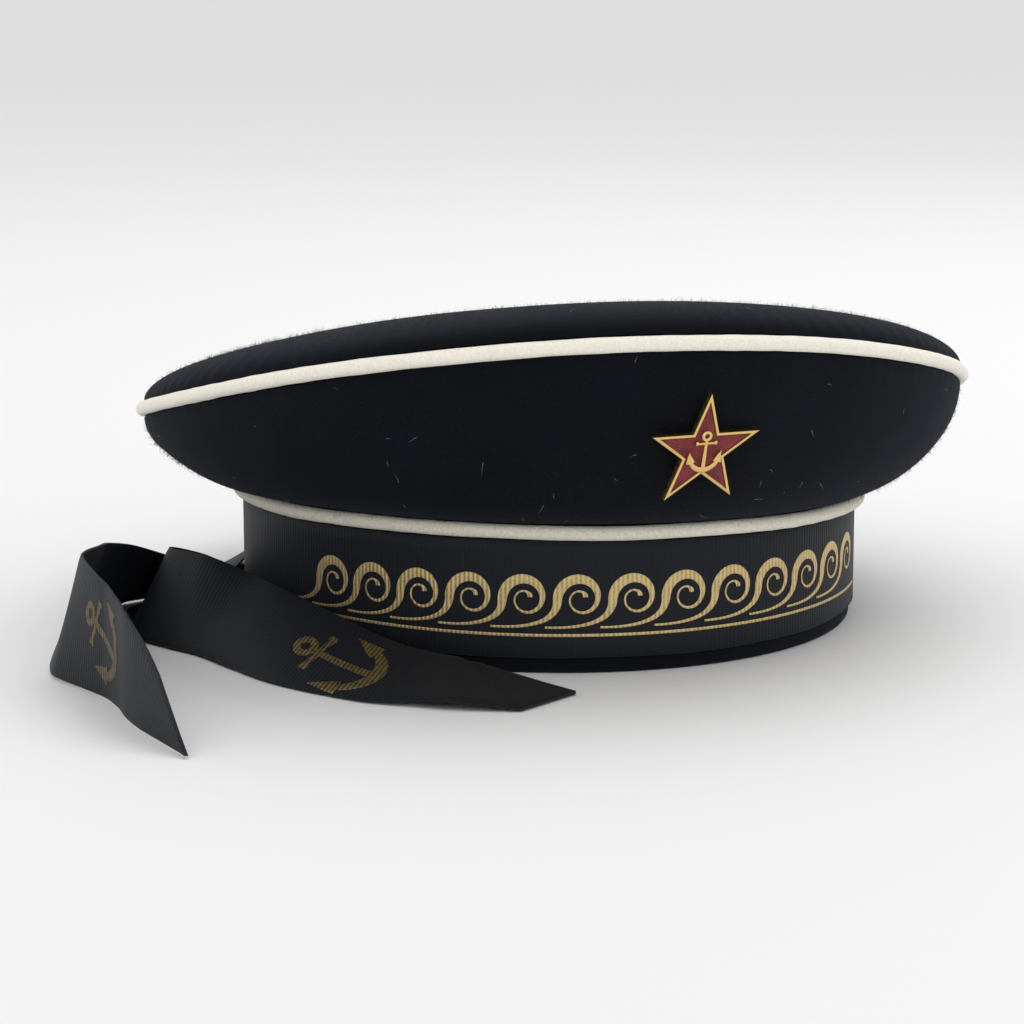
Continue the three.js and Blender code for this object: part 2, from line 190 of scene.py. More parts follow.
def gridObject(name, points, closeRows=False, closeCols=False, cut=None, caps=False, sharp=None):
    # cut is a grid one longer in each closed direction, so that the pattern doesn't wrap back;
    # caps close the first and last row of a piece that has a cut
    rows, cols = points.shape[:2]
    faces = list(gridFaces(rows, cols, closeRows, closeCols))
    corners = None
    if cut is not None:
        corners = cut.reshape(-1, 2)[gridFaces(*cut.shape[:2], False, False).reshape(-1)]
    if caps:
        faces += [np.arange(cols)[::-1], np.arange(cols) + (rows - 1) * cols]
        corners = np.concatenate([corners, cut[0, :cols][::-1], cut[rows - 1, :cols]])
    return finishMesh(meshObject(name, points.reshape(-1, 3), faces, corners), sharp)


def paint(obj, material, slot, *nodes):
    # gives a piece its finish, hides the solids it takes the place of, and hangs it under the root body
    obj.data.materials.clear()
    obj.data.materials.append(material)
    if nodes:
        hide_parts(*nodes)
    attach(obj, "root")


# Materials

def linear(code):
    # sRGB hex to linear red, green, blue, alpha
    values = [int(code[i:i + 2], 16) / 255 for i in (1, 3, 5)]
    return [v / 12.92 if v <= 0.04045 else ((v + 0.055) / 1.055) ** 2.4 for v in values] + [1.0]


def addNode(tree, kind, settings=None, inputs=None):
    # adds a node, sets its own settings, and fills or links its sockets
    node = tree.nodes.new(kind)
    for key, value in (settings or {}).items():
        setattr(node, key, value)
    for key, value in (inputs or {}).items():
        if isinstance(value, bpy.types.NodeSocket):
            tree.links.new(value, node.inputs[key])
        else:
            node.inputs[key].default_value = value
    return node


def newMaterial(name, sockets):
    material = bpy.data.materials.new(name)
    material.use_nodes = True
    tree = material.node_tree
    shader = tree.nodes["Principled BSDF"]
    for key, value in sockets.items():
        shader.inputs[key].default_value = value
    return material, tree, shader


def plainMaterial(name, roughness, colour):
    return newMaterial(name, {"Roughness": roughness, "Base Color": linear(colour)})[0]


def mixColours(tree, factor, first, second):
    mix = addNode(tree, "ShaderNodeMix", {"data_type": "RGBA"}, {0: factor})
    mix.inputs[6].default_value = linear(first)
    mix.inputs[7].default_value = linear(second)
    return mix.outputs[2]


def remap(tree, value, low, high, most=1.0):
    # 0 up to low, most from high
    span = {0: value, 1: low, 2: high, 3: 0.0, 4: most}
    return addNode(tree, "ShaderNodeMapRange", {"clamp": True}, span).outputs[0]


def noise(tree, coordinates, perMetre, detail, rough):
    inputs = {"Vector": coordinates, "Scale": perMetre, "Detail": detail, "Roughness": rough}
    return addNode(tree, "ShaderNodeTexNoise", {}, inputs).outputs[0]


def bumped(tree, height, depthMm, strength, under=None):
    inputs = {"Height": height, "Strength": strength, "Distance": depthMm * mm}
    if under is not None:
        inputs["Normal"] = under
    return addNode(tree, "ShaderNodeBump", {}, inputs).outputs[0]


def maths(tree, operation, *values):
    return addNode(tree, "ShaderNodeMath", {"operation": operation}, dict(enumerate(values))).outputs[0]


def blend(tree, first, firstShare, second, secondShare):
    # firstShare first + secondShare second
    return maths(tree, "ADD", maths(tree, "MULTIPLY", first, firstShare),
                 maths(tree, "MULTIPLY", second, secondShare))


def navyWool():
    # milled wool cloth: matte, near black, a low nap that blurs the weave and takes a faint grey sheen
    material, tree, shader = newMaterial("milled navy wool", {
        "Roughness": 0.95, "Sheen Weight": 0.12, "Sheen Roughness": 0.45, "Sheen Tint": linear("#6f7c97"),
        "Specular IOR Level": 0.2})
    place = addNode(tree, "ShaderNodeTexCoord").outputs["Object"]
    nap = noise(tree, place, perMetre=1400, detail=4, rough=0.7)      # felted tufts about 0.7 mm across
    cloud = noise(tree, place, perMetre=45, detail=3, rough=0.55)     # brushed areas a few cm across
    shade = remap(tree, blend(tree, nap, 0.6, cloud, 0.5), low=0.4, high=0.75)
    tree.links.new(mixColours(tree, shade, "#020308", "#080b15"), shader.inputs["Base Color"])
    tree.links.new(bumped(tree, nap, depthMm=0.35, strength=0.8), shader.inputs["Normal"])
    return material


def creamFelt(name, light, dark, grime):
    # folded strip of felted wool: chalky, with a short nap and dark fibres caught in it
    material, tree, shader = newMaterial(name, {
        "Roughness": 0.9, "Sheen Weight": 0.3, "Sheen Roughness": 0.5, "Specular IOR Level": 0.25})
    place = addNode(tree, "ShaderNodeTexCoord").outputs["Object"]
    nap = noise(tree, place, perMetre=1300, detail=4, rough=0.65)
    soil = noise(tree, place, perMetre=190, detail=5, rough=0.7)
    base = mixColours(tree, remap(tree, nap, low=0.3, high=0.75), dark, light)
    mark = remap(tree, soil, low=0.62, high=0.78, most=grime)
    mix = addNode(tree, "ShaderNodeMix", {"data_type": "RGBA"}, {0: mark, 6: base})
    mix.inputs[7].default_value = linear("#8d877a")
    tree.links.new(mix.outputs[2], shader.inputs["Base Color"])
    tree.links.new(bumped(tree, nap, depthMm=0.3, strength=0.8), shader.inputs["Normal"])
    return material


ribPitch = 1.3  # mm between the ribs of the grosgrain


def ribs(tree):
    # height of the ribs that cross the ribbon, (1 + sin(2 pi along / ribPitch)) / 2, along in mm
    cut = addNode(tree, "ShaderNodeUVMap", {"uv_map": "cut"}).outputs[0]
    along = addNode(tree, "ShaderNodeSeparateXYZ", {}, {0: cut}).outputs[0]
    wave = maths(tree, "SINE", maths(tree, "MULTIPLY", along, 2 * math.pi / ribPitch))
    return maths(tree, "MULTIPLY_ADD", wave, 0.5, 0.5)


def ribbedRibbon():
    # viscose grosgrain: round ribs over thick weft, a soft satin light on each rib
    material, tree, shader = newMaterial("black grosgrain", {
        "Roughness": 0.6, "Sheen Weight": 0.03, "Sheen Roughness": 0.4, "Specular IOR Level": 0.27})
    rib = ribs(tree)
    place = addNode(tree, "ShaderNodeTexCoord").outputs["Object"]
    thread = noise(tree, place, perMetre=1700, detail=3, rough=0.7)
    shade = remap(tree, blend(tree, rib, 0.2, thread, 0.8), low=0.1, high=0.9)
    tree.links.new(mixColours(tree, shade, "#04060c", "#0d131e"), shader.inputs["Base Color"])
    fine = bumped(tree, thread, depthMm=0.1, strength=0.6)
    tree.links.new(bumped(tree, rib, depthMm=0.08, strength=0.7, under=fine), shader.inputs["Normal"])
    return material


def goldFoil(name, bright, dull, worn):
    # gold foil pressed on the ribs: metal that breaks up in the hollows and rubs thin; worn is the
    # shade below which it is all dull
    material, tree, shader = newMaterial(name, {"Metallic": 0.85, "Roughness": 0.5})
    rib = ribs(tree)
    place = addNode(tree, "ShaderNodeTexCoord").outputs["Object"]
    grain = noise(tree, place, perMetre=900, detail=4, rough=0.7)
    shade = remap(tree, blend(tree, rib, 0.35, grain, 0.9), low=worn, high=worn + 0.5)
    tree.links.new(mixColours(tree, shade, dull, bright), shader.inputs["Base Color"])
    tree.links.new(bumped(tree, rib, depthMm=0.2, strength=0.8), shader.inputs["Normal"])
    return material


def giltBrass():
    # stamped brass with a gold wash: bright edges, slightly brushed
    material, tree, shader = newMaterial("gilt brass", {
        "Metallic": 1.0, "Roughness": 0.24, "Base Color": linear("#e3c27a")})
    place = addNode(tree, "ShaderNodeTexCoord").outputs["Object"]
    grain = noise(tree, place, perMetre=1500, detail=3, rough=0.6)
    tree.links.new(bumped(tree, grain, depthMm=0.03, strength=0.5), shader.inputs["Normal"])
    return material


rayCount = 64  # rays cut in the metal under the enamel


def rayEnamel():
    # translucent red enamel fired over rays cut in the metal, glassy on top
    material, tree, shader = newMaterial("red translucent enamel", {
        "Roughness": 0.4, "Metallic": 0.0, "Specular IOR Level": 0.3,
        "Coat Weight": 0.35, "Coat Roughness": 0.1})
    cut = addNode(tree, "ShaderNodeUVMap", {"uv_map": "cut"}).outputs[0]
    local = addNode(tree, "ShaderNodeSeparateXYZ", {}, {0: cut})
    angle = maths(tree, "ARCTAN2", local.outputs[1], local.outputs[0])
    ray = maths(tree, "SINE", maths(tree, "MULTIPLY", angle, rayCount))
    place = addNode(tree, "ShaderNodeTexCoord").outputs["Object"]
    pool = noise(tree, place, perMetre=260, detail=3, rough=0.6)
    shade = remap(tree, blend(tree, ray, 0.12, pool, 1.0), low=0.3, high=0.75)
    tree.links.new(mixColours(tree, shade, "#4f0812", "#8c1826"), shader.inputs["Base Color"])
    tree.links.new(bumped(tree, ray, depthMm=0.05, strength=0.7), shader.inputs["Normal"])
    return material


wool = navyWool()
rimFelt = creamFelt("cream felt piping", "#fffaee", "#ece6d6", 0.35)
# the seam's piping: the rim's felt in darker colours, with more dark marks
bandFelt = creamFelt("darker cream felt piping", "#f4efe0", "#d6d0bf", 0.6)
grosgrain = ribbedRibbon()
foil = goldFoil("gold foil print", "#dcc48e", "#8a7749", 0.2)
wornFoil = goldFoil("rubbed gold foil print", "#a8935f", "#2f2b24", 0.36)
# painted shade: the rubbed foil's colours darkened further, for the far anchor only
shadedFarFoil = goldFoil("far gold foil print with painted shade", "#857552", "#262420", 0.4)
gilt = giltBrass()
enamel = rayEnamel()
print("materials made")

turns = np.arange(0, 360, 0.75)[:, None]  # degrees round the cap, one column

# Crown: bowl-shaped side and domed top

crown = {
    "outerSteps": 64,
    "innerSteps": 20,
    "innerFrom": 0.12,       # shares of the way from seam to rim where the inner face starts and ends
    "innerTo": 0.88,
    "topInnerSkip": 6,       # the dome's inner face leaves out this many steps at the rim
    "topInnerStride": 3,
    "insideHeight": 70.0,    # a point inside the crown, to tell inward from outward
    "sharp": 55,
    "undulation": 0.45,
    "undulationWaves": 9,
    "pucker": 0.12,
    "puckerCount": 118,
    "puckerReach": 18.0,     # how fast the puckers die out away from the rim
    "seam": 0.999,           # share from which the cloth is held by the seam
    "stillMiddle": 2,        # the top's waves are full from 1/2 of the way to the rim
}


def rimLip(turn, seamOffset):
    # three corners behind the rim piping: face, seam, and the seam's inner edge
    height = rimHeightAt(turn)
    behind = -cap["rimPipingRadius"] - cap["gap"]
    face = height + np.sign(seamOffset) * (cap["rimPipingRadius"] + cap["gap"])
    parts = [roundRim(turn, behind, face), roundRim(turn, behind, height + seamOffset),
             roundRim(turn, behind - cap["clothWall"], height + seamOffset)]
    return np.concatenate(parts, 1)


def clothSkin(skin, share, seed):
    # moves the outer face along its normal by slow waves and by small puckers beside the rim's seam
    n = gridNormals(skin)
    fade = np.sin(np.pi * np.clip(share, 0, 1)) ** 0.5
    slow = waves(turns, share * 2.0, crown["undulationWaves"], seed, lowest=1, highest=7) * fade
    near = np.exp(-(1 - share) * crown["puckerReach"]) * (share < crown["seam"])
    uneven = 2 * waves(turns, share, count=5, seed=seed + 1, lowest=2, highest=9)
    pucker = near * np.sin(np.radians(turns) * crown["puckerCount"] + uneven)
    return skin + n * (crown["undulation"] * slow + crown["pucker"] * pucker)[..., None]


def crownSideCloth():
    # outer bowl, lip behind the rim piping, inner bowl, flat lip on the headband
    share = np.linspace(0, 1, crown["outerSteps"])[None, :] + 0 * turns
    outer = crownSideAt(turns, share)
    inside = np.linspace(crown["innerTo"], crown["innerFrom"], crown["innerSteps"])
    inShare = inside[None, :] + 0 * turns
    face = crownSideAt(turns, inShare)
    n = gridNormals(face)
    middle = np.array([cap["rimShift"], centreY, crown["insideHeight"]])
    n = n * np.sign(np.sum(n * (middle - face), -1, keepdims=True))
    inner = face + n * cap["clothWall"]
    bottom = seamTopAt(turns) + cap["gap"]
    lip = np.concatenate([roundBand(turns, -cap["bandWall"], bottom + cap["clothWall"]),
                          roundBand(turns, -cap["bandWall"], bottom)], 1)
    skin = clothSkin(outer, share, 21)
    points = np.concatenate([skin, rimLip(turns, -cap["gap"] / 2), inner, lip], 1)
    return gridObject("crownSideCloth", points, True, True, sharp=crown["sharp"])


def crownTopCloth():
    # outer dome, lip behind the rim piping, inner dome
    a = np.linspace(0, np.pi / 2, crown["outerSteps"])
    share = np.sin(a)[None, :] + 0 * turns
    outer = crownTopAt(turns, share)
    inShare = np.sin(a[:-crown["topInnerSkip"]:crown["topInnerStride"]])[None, ::-1] + 0 * turns
    inner = crownTopAt(turns, inShare)
    towardsMiddle = (np.array([cap["rimShift"], centreY, 0.0]) - inner) * [1, 1, 0]
    inner = inner + towardsMiddle * cap["clothWall"] / cap["rimHalfWidth"]
    inner[..., 2] -= cap["clothWall"]
    # the waves die out towards the middle, where all columns of the grid meet
    calm = np.clip(crown["stillMiddle"] * share, 0, 1)[..., None] ** 2
    skin = outer + (clothSkin(outer, share, 33) - outer) * calm
    points = np.concatenate([skin, rimLip(turns, cap["gap"] / 2), inner], 1)
    return gridObject("crownTopCloth", points, True, True, sharp=crown["sharp"])


paint(crownSideCloth(), wool, "navy_wool", "crown_side")
paint(crownTopCloth(), wool, "navy_wool", "crown_top")
print("crown made")

# Pipings: one cord round the rim, one on the seam

piping = {"sides": 20, "lumps": 0.03, "drift": 0.2}


def pipingCord(name, radius, centres, seed):
    # circle of radius r(1 + lumps) carried round the cap, across the outward line and the vertical,
    # lying a little high or low
    outward = onEllipse(turns, 1, 1, 0.0) - onEllipse(turns, 0, 0, 0.0)
    angle = np.linspace(0, 2 * np.pi, piping["sides"], endpoint=False)[None, :, None]
    lumps = waves(turns, np.cos(angle[..., 0]), count=8, seed=seed, lowest=6, highest=90)
    drift = waves(turns, 0 * turns, count=6, seed=seed + 1, lowest=2, highest=12)
    grow = 1 + piping["lumps"] * lumps[..., None]
    up = np.array([0, 0, 1.0])
    lie = up * (piping["drift"] * drift[..., None])
    points = centres + lie + radius * grow * (outward * np.cos(angle) + up * np.sin(angle))
    return gridObject(name, points, True, True)


seatedPiping = cap["gap"] + cap["bandPipingRadius"]
rimCentres = roundRim(turns, 0, rimHeightAt(turns))
bandCentres = roundBand(turns, seatedPiping, seamHeightAt(turns))
rimCord = pipingCord("rimPipingCord", cap["rimPipingRadius"], rimCentres, 51)
bandCord = pipingCord("bandPipingCord", cap["bandPipingRadius"], bandCentres, 57)
paint(rimCord, rimFelt, "cream_felt", "rim_piping")
paint(bandCord, bandFelt, "cream_felt", "band_piping")
print("pipings made")

# Headband and cap ribbon

band = {"hem": 1.1, "hemSteps": 5, "wallSteps": 10, "sharp": 60}
ribbon = {
    "foot": 4.5,             # height of its lower edge over the table
    "wall": 1.0,
    "width": 35.0,
    "edgeRound": 0.35,
    "wander": 0.18,          # how far the lower edge strays up and down
    "steps": 18,
    "sharp": 60,
}


def headbandCloth():
    # upright wall with a rounded hem: out and height of each corner of its section, carried round
    hem = np.linspace(0, np.pi / 2, band["hemSteps"])
    wall = cap["bandWall"]
    r = band["hem"]
    outside = np.stack([-r + r * np.sin(hem), r - r * np.cos(hem)], 1)
    inside = np.stack([-wall + r - r * np.sin(hem[::-1]), r - r * np.cos(hem[::-1])], 1)
    rise = np.linspace(0, 1, band["wallSteps"])[1:]
    top = seamTopAt(turns)
    section = np.concatenate([inside, outside])[None]
    low = roundBand(turns, section[..., 0], section[..., 1] + 0 * turns)
    up = roundBand(turns, 0.0, r + (top - r) * rise[None, :])
    down = roundBand(turns, -wall, r + (top - r) * rise[None, ::-1])
    points = np.concatenate([low, up, down], 1)
    return gridObject("headbandCloth", points, True, True, sharp=band["sharp"])


denseTurn = np.arange(-360, 361, 0.5)
densePoint = roundBand(denseTurn, cap["gap"] + ribbon["wall"], 0.0)
denseLength = np.concatenate([[0], np.cumsum(np.linalg.norm(np.diff(densePoint, axis=0), axis=1))])
denseLength -= np.interp(0, denseTurn, denseLength)  # mm round the ribbon's face from the front


def ribbonTopAt(turn):
    return seamHeightAt(turn) - cap["bandPipingRadius"] - cap["gap"]


def capRibbonWeave():
    # ribbon's outer face from foot to top with rounded edges, and its back against the headband
    soft = ribbon["edgeRound"]
    v = np.linspace(0, 1, ribbon["steps"])
    top = ribbonTopAt(turns)
    wander = waves(turns, 0 * turns, count=7, seed=61, lowest=2, highest=14)
    foot = ribbon["foot"] + ribbon["wander"] * wander
    height = foot + (top - foot) * v[None, :]
    out = np.full_like(v, cap["gap"] + ribbon["wall"])
    out[[0, -1]] -= soft
    height[:, 1] = height[:, 0] + soft
    height[:, -2] = height[:, -1] - soft
    face = roundBand(turns, out[None, :], height)
    back = roundBand(turns, cap["gap"], np.concatenate([height[:, -1:], height[:, :1]], 1))
    points = np.concatenate([face, back], 1)
    around = np.interp(np.append(turns[:, 0], 360.0), denseTurn, denseLength)
    across = np.concatenate([v, [1, 0, 0]]) * ribbon["width"]
    cut = np.stack(np.broadcast_arrays(around[:, None], across[None, :]), -1)
    return gridObject("capRibbonWeave", points, True, True, cut, sharp=ribbon["sharp"])


paint(headbandCloth(), wool, "navy_wool", "headband")
paint(capRibbonWeave(), grosgrain, "ribbed_ribbon", "cap_ribbon")
print("band made")

# Ribbon tails: rows of turn, out, up, swing, rise and span, as in the solids

tailSize = {
    "width": 35.0,
    "wall": 1.0,
    "edge": 0.35,            # by how much the wall is thinner along both edges
    "perRow": 14,
    "across": 17,
    "tipSteps": 18,
    "sharp": 60,
}
nearTail = {
    "rows": np.array([
        [-178, 0, 0.02, 0, 90, 0.8],
        [-163, 0, 0.02, 0, 90, 0.8],
        [-150, 0.38, 0.02, 0, 60, 0.68],
        [-138, 0.4, 0.02, 0, 26, 0.4],
        [-126, 0.4, 0.02, 0, 14, 0.38],
        [-114, 0.57, 0.02, 3, 12, 0.55],
        [-105, 0.99, 0.02, 15, 17, 1],
        [-98, 0.98, 0.02, 38, 26, 1],
        [-91, 1.11, 0.02, 49, 36, 1],
        [-84, 1, 0.02, 41, 37, 1],
        [-76.5, 0.9, 0.02, 29, 30, 1],
        [-69, 0.95, 0.02, 21, 27, 1],
        [-60, 1.07, 0.02, 10, 21.5, 1],
        [-51.5, 1.15, 0.02, 6.5, 15, 1],
        [-45, 1.21, 0.03, 5, 10.5, 1],
        [-40.5, 1.2, 0.05, 6, 7.5, 1],
        [-36.5, 1.22, 0.07, 9, 6, 1],
        [-32, 1.2, 0.05, 17, 6, 1],
        [-27.8, 1.18, 0.02, 25, 8, 1],
    ]),
    "tip": (-21.3, 0.64, 0.02),
    "seat": 2.1,
    "print": {"size": 33.0, "fromTip": 69.0, "across": 0.45, "turned": -9.0},
}
farTail = {
    "rows": np.array([
        [-178, 0, 0.02, 0, 90, 0.8],
        [-163, 0, 0.02, 0, 90, 0.8],
        [-150, 0.48, 0.02, 0, 63, 0.72],
        [-138, 0.55, 0.02, 0, 30, 0.48],
        [-126, 0.53, 0.02, 0, 20, 0.43],
        [-115, 0.74, 0.02, 0, 15, 0.6],
        [-107.5, 1.2, 0.02, 8, 15, 1],
        [-102.3, 1.24, 0.02, 22, 21, 1],
        [-96.2, 1.37, 0.02, 32, 31, 1],
        [-91.5, 1.54, 0.02, 34, 42, 1],
        [-87, 1.76, 0.02, 29, 52, 1],
        [-81.4, 2.01, 0.02, 0, 66, 1],
        [-77, 2.14, 0.02, -10, 76, 0.97],
        [-73, 2.15, 0.02, -30, 83, 0.94],
        [-68.4, 2.19, 0.02, -60, 88, 0.89],
        [-64.5, 2.32, 0.02, -90, 90, 0.84],
        [-61.2, 2.51, 0.02, -110, 88, 0.78],
        [-57.9, 2.69, 0.02, -113, 56, 0.57],
    ]),
    "tip": (-50.5, 3.11, 0.02),
    "seat": 3.4,
    "print": {"size": 26.0, "fromTip": 68.0, "across": 0.48, "turned": -24.0},
}


def columns(rows, place):
    # cubic between rows, slope = harmonic mean of the differences beside it, so it can't overshoot
    step = np.diff(rows, axis=0)
    product = step[:-1] * step[1:]
    total = step[:-1] + step[1:]
    inside = np.where(product > 0, 2 * product / np.where(product > 0, total, 1), 0)
    slope = np.concatenate([step[:1], inside, step[-1:]])
    i = np.minimum(np.floor(place).astype(int), len(rows) - 2)
    f = (place - i)[:, None]
    return (rows[i] * (2 * f**3 - 3 * f**2 + 1) + slope[i] * (f**3 - 2 * f**2 + f)
            + rows[i + 1] * (3 * f**2 - 2 * f**3) + slope[i + 1] * (f**3 - f**2))


def tailEdges(tail, place):
    # lower and upper edge: low from turn, out and up; high = low + span width along swing and rise
    value = columns(tail["rows"], place)
    turn, out, up, swing, rise, span = value.T
    w = tailSize["width"]
    low = roundBand(turn, tail["seat"] + out * w, up * w)
    heading = np.radians(90 - np.abs(turn) + swing)
    rise = np.radians(rise)
    across = np.stack([np.cos(rise) * np.cos(heading), np.cos(rise) * np.sin(heading), np.sin(rise)], 1)
    return low, low + across * (span * w)[:, None]


def tailSurface(tail):
    # edges down the whole tail, straight to the tip after the last row, with the length so far and
    # the outward direction
    last = len(tail["rows"]) - 1
    low, high = tailEdges(tail, np.linspace(0, last, last * tailSize["perRow"] + 1))
    w = tailSize["width"]
    tip = roundBand(tail["tip"][0], tail["seat"] + tail["tip"][1] * w, tail["tip"][2] * w)
    f = np.linspace(0, 1, tailSize["tipSteps"] + 1)[1:, None]
    low = np.concatenate([low, low[-1] + (tip - low[-1]) * f])
    high = np.concatenate([high, high[-1] + (tip - high[-1]) * f])
    middle = (low + high) / 2
    length = np.concatenate([[0], np.cumsum(np.linalg.norm(np.diff(middle, axis=0), axis=1))])
    full = last * tailSize["perRow"]
    along = np.gradient(middle, axis=0)
    across = high - low
    across[full + 1:] = across[full]
    along[full + 1:] = along[full]
    n = np.cross(along, across)
    n /= np.linalg.norm(n, axis=1, keepdims=True)
    return low, high, length, n


def tailPiece(name, tail):
    # two faces half the wall either side of the middle surface, joined round the edges, with the
    # length along the middle and the area of one face
    low, high, length, n = tailSurface(tail)
    v = np.linspace(0, 1, tailSize["across"])
    half = np.full_like(v, tailSize["wall"] / 2)
    half[[0, -1]] -= tailSize["edge"] / 2
    flat = low[:, None] + (high - low)[:, None] * v[None, :, None]
    face = flat + n[:, None] * half[None, :, None]
    back = (flat - n[:, None] * half[None, :, None])[:, ::-1]
    points = np.concatenate([face, back], 1)
    width = np.concatenate([v, v[::-1], v[:1]]) * tailSize["width"]
    cut = np.stack(np.broadcast_arrays(length[:, None], width[None, :]), -1)
    obj = gridObject(name, points, False, True, cut, caps=True, sharp=tailSize["sharp"])
    area = np.sum(np.linalg.norm(np.cross(np.diff(low, axis=0), (high - low)[:-1]), axis=1)) / 2
    area += np.sum(np.linalg.norm(np.cross(np.diff(high, axis=0), (high - low)[1:]), axis=1)) / 2
    return obj, length[-1] * mm, area * mm * mm


def onTail(tail):
    # (mm towards the tip from the print's middle, mm across, lift) to a point on the outer face
    low, high, length, n = tailSurface(tail)
    where = tail["print"]
    turned = math.radians(where["turned"])

    def here(values, along):
        return np.stack([np.interp(along, length, column) for column in values.T], -1)

    def place(a, c, lift):
        along = a * math.cos(turned) - c * math.sin(turned) + length[-1] - where["fromTip"]
        across = a * math.sin(turned) + c * math.cos(turned) + where["across"] * tailSize["width"]
        lowHere, highHere, normal = (here(values, along) for values in (low, high, n))
        share = across / np.maximum(np.linalg.norm(highHere - lowHere, axis=-1), 1.0)
        point = lowHere + (highHere - lowHere) * share[..., None]
        return point + normal * (tailSize["wall"] / 2 + lift)[..., None], along, across
    return place


tails = (
    ("nearRibbonTail", nearTail, "ribbon_tail_near"),
    ("farRibbonTail", farTail, "ribbon_tail_far"),
)
for name, tail, solid in tails:
    obj, length, area = tailPiece(name, tail)
    paint(obj, grosgrain, "ribbed_ribbon", solid)
    print(name, "length", round(length, 4), "area", round(area, 6))

# Strokes: foil print and raised ornament

strokeSection = np.array([[-1, 0], [-0.97, 0.7], [-0.6, 1], [0, 1.08], [0.6, 1], [0.97, 0.7], [1, 0]])


def strokePiece(name, strokes, place, lift, height, sharp=50):
    # a small section, width w(s) by height, carried along each flat path and laid on the surface by place
    allPoints, allFaces, allCut, start = [], [], [], 0
    for path, width in strokes:
        path = np.asarray(path, float)
        width = np.broadcast_to(width, len(path))
        heading = np.gradient(path, axis=0)
        heading /= np.maximum(np.linalg.norm(heading, axis=1, keepdims=True), 1e-9)
        side = np.stack([-heading[:, 1], heading[:, 0]], 1)
        flat = path[:, None] + side[:, None] * (width[:, None] / 2 * strokeSection[None, :, 0])[..., None]
        rise = lift + height * strokeSection[None, :, 1] + 0 * width[:, None]
        points, along, across = place(flat[..., 0], flat[..., 1], rise)
        rows, cols = points.shape[:2]
        faces = [list(f + start) for f in gridFaces(rows, cols, False, True)]
        faces += [list(np.arange(cols)[::-1] + start), list(np.arange(cols) + (rows - 1) * cols + start)]
        cut = np.stack([along, across], -1).reshape(-1, 2)
        allCut += [cut[np.concatenate(faces).astype(int) - start]]
        allPoints.append(points.reshape(-1, 3))
        allFaces += faces
        start += rows * cols
    obj = meshObject(name, np.concatenate(allPoints), allFaces, np.concatenate(allCut))
    return finishMesh(obj, sharp)


def arc(cx, cy, radius, start, stop, count):
    # (cx + r cos a, cy + r sin a)
    a = np.radians(np.linspace(start, stop, count))
    return np.stack([cx + radius * np.cos(a), cy + radius * np.sin(a)], 1)


def line(x0, y0, x1, y1, count):
    # (x0, y0) + f (x1 - x0, y1 - y0)
    f = np.linspace(0, 1, count)[:, None]
    return np.array([x0, y0]) + (np.array([x1, y1]) - [x0, y0]) * f


# An anchor 30 mm long, its ring at -x and its crown at +x: places and widths of its forms in mm
anchorForm = {
    "length": 30.0,
    "ringAt": -12.3, "ringRadius": 2.8, "ringWire": 2.4,
    "shankFrom": -10.0, "shankTo": 12.6, "shankThin": 2.2, "shankThick": 3.2,
    "stockAt": -7.0, "stockHalf": 7.0, "stockWire": 1.9, "knobFrom": 6.2, "knobTo": 8.0, "knobWide": 3.0,
    "armsAt": 1.5, "armsRadius": 11.6, "armsTurn": 80.0, "armsThin": 1.6, "armsGain": 2.4,
    "flukeFrom": (7.4, 10.2), "flukeTo": (-1.2, 12.2), "flukeWide": 6.6,
    "billFrom": 12.0, "billTo": 15.0, "billWide": 3.6,
    "point": 0.3,
}


def anchorStrokes(size):
    # ring, shank, stock, arms, and a fluke and a knob on each side, then the bill, scaled to size
    form = anchorForm
    stock, knobWide = form["stockAt"], form["knobWide"]
    bend = np.radians(np.linspace(-form["armsTurn"], form["armsTurn"], 60))
    (flukeX, flukeY), (pointX, pointY) = form["flukeFrom"], form["flukeTo"]
    shank = np.linspace(form["shankThin"], form["shankThick"], 30)
    bill = np.linspace(form["billWide"], form["point"], 8)
    strokes = [
        (arc(form["ringAt"], 0, form["ringRadius"], 0, 360, 36), form["ringWire"]),
        (line(form["shankFrom"], 0, form["shankTo"], 0, 30), shank),
        (line(stock, -form["stockHalf"], stock, form["stockHalf"], 24), form["stockWire"]),
        (arc(form["armsAt"], 0, form["armsRadius"], -form["armsTurn"], form["armsTurn"], 60),
         form["armsThin"] + form["armsGain"] * np.cos(bend)),
    ]
    for side in (-1, 1):
        fluke = line(flukeX, side * flukeY, pointX, side * pointY, 20)
        strokes.append((fluke, np.linspace(form["flukeWide"], form["point"], 20)))
        strokes.append((line(stock, side * form["knobFrom"], stock, side * form["knobTo"], 6), knobWide))
    strokes.append((line(form["billFrom"], 0, form["billTo"], 0, 8), bill))
    scale = size / form["length"]
    return [(path * scale, width * scale) for path, width in strokes]


scroll = {
    "pitch": 15.2,
    "from": -118.5,          # mm round the ribbon from the front
    "count": 13,
    "baseline": 12.6,
    "height": 0.12,
    "sweep": np.array([[-14.0, 0.6], [1.5, 0.2], [4.6, 4.2], [4.6, 8.6]]),  # the four Bezier points
    "eye": np.array([11.0, 8.6]),
    "spiralOut": 6.4,
    "spiralShrink": 5.0,
    "spiralTurn": 520.0,
    "thin": 0.5,
    "belly": 2.3, "bellyAt": 0.36, "bellySpread": 0.2,
    "bead": 0.9, "beadAt": 0.98, "beadSpread": 0.05,
    "lineDrop": 1.6, "lineBefore": 14.0, "lineAfter": 8.0, "lineWidth": 0.8,
}


